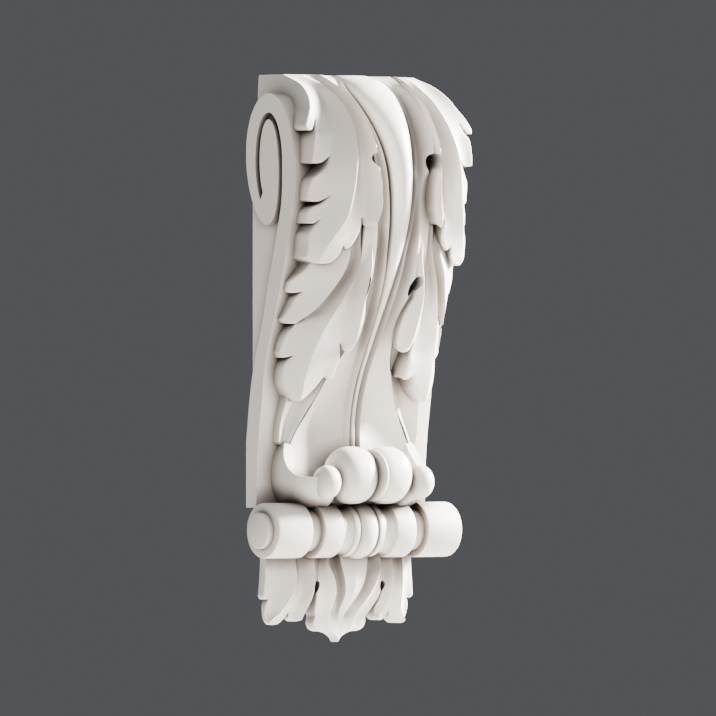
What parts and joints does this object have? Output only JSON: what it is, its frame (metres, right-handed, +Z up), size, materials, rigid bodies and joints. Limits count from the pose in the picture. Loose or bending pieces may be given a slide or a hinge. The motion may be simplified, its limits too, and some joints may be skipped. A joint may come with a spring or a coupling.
{
  "type": "shelf bracket",
  "caption": "Wall corbel for a shelf: S-curved body with side volutes, an acanthus leaf on the front, a turned roll and a hanging leaf below.",
  "frame": {"origin": "middle of the flat back, on the wall plane, at half the height", "axes": "+X to the right seen from the front, +Y into the wall, +Z up"},
  "size_m": [0.1688, 0.0929, 0.3943],
  "materials": {
    "coated_plaster": "cast plaster with a satin warm white coat"
  },
  "bodies": {
    "root": {"corbel": "coated_plaster"}
  },
  "joints": []
}
